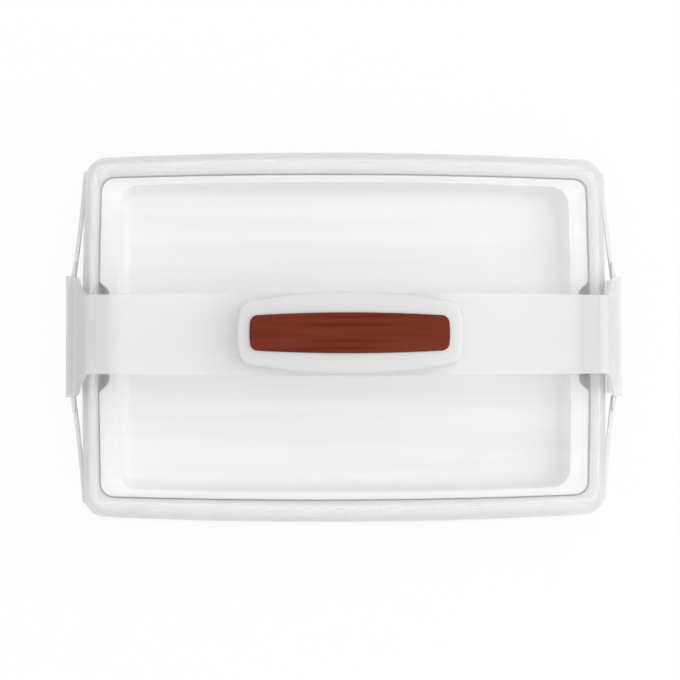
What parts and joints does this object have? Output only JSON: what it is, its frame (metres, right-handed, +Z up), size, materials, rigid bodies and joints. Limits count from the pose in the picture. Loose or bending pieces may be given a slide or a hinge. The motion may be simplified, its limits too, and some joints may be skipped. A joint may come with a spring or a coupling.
{
  "type": "cake carrier",
  "caption": "Rectangular cake carrier: a base with grab bars, a lift-out cake tray, a clear hood and a strap handle with hooks at both ends.",
  "frame": {"origin": "on the table, under the centre of the base's footprint", "axes": "+X to the right along the length and the strap, +Y to the back, +Z up"},
  "size_m": [0.4174, 0.2812, 0.118],
  "materials": {
    "base_plastic": "satin natural translucent polypropylene",
    "tray_plastic": "satin white polypropylene",
    "hood_plastic": "glossy clear polypropylene",
    "strap_plastic": "frosted polypropylene",
    "grip_rubber": "matt brick-red soft-touch elastomer"
  },
  "bodies": {
    "base": {"base_tray": "base_plastic"},
    "tray": {"cake_tray": "tray_plastic"},
    "cover": {"hood": "hood_plastic"},
    "strap": {"carry_strap": "strap_plastic", "grip_pad": "grip_rubber"},
    "left_arm": {"left_latch_arm": "strap_plastic"},
    "right_arm": {"right_latch_arm": "strap_plastic"}
  },
  "joints": [
    {"name": "hood_lift", "type": "slide", "parent": "base", "child": "cover", "axis": [0, 0, 1], "range_m": [0, 0.15]},
    {"name": "strap_lift", "type": "slide", "parent": "cover", "child": "strap", "axis": [0, 0, 1], "range_m": [0, 0.12]},
    {"name": "left_arm_swing", "type": "hinge", "parent": "strap", "child": "left_arm", "pos_m": [-0.18, 0, 0.0868], "axis": [0, 1, 0], "range_deg": [0, 70]},
    {"name": "right_arm_swing", "type": "hinge", "parent": "strap", "child": "right_arm", "pos_m": [0.18, 0, 0.0868], "axis": [0, -1, 0], "range_deg": [0, 70]},
    {"name": "tray_lift", "type": "slide", "parent": "base", "child": "tray", "axis": [0, 0, 1], "range_m": [0, 0.03]}
  ]
}
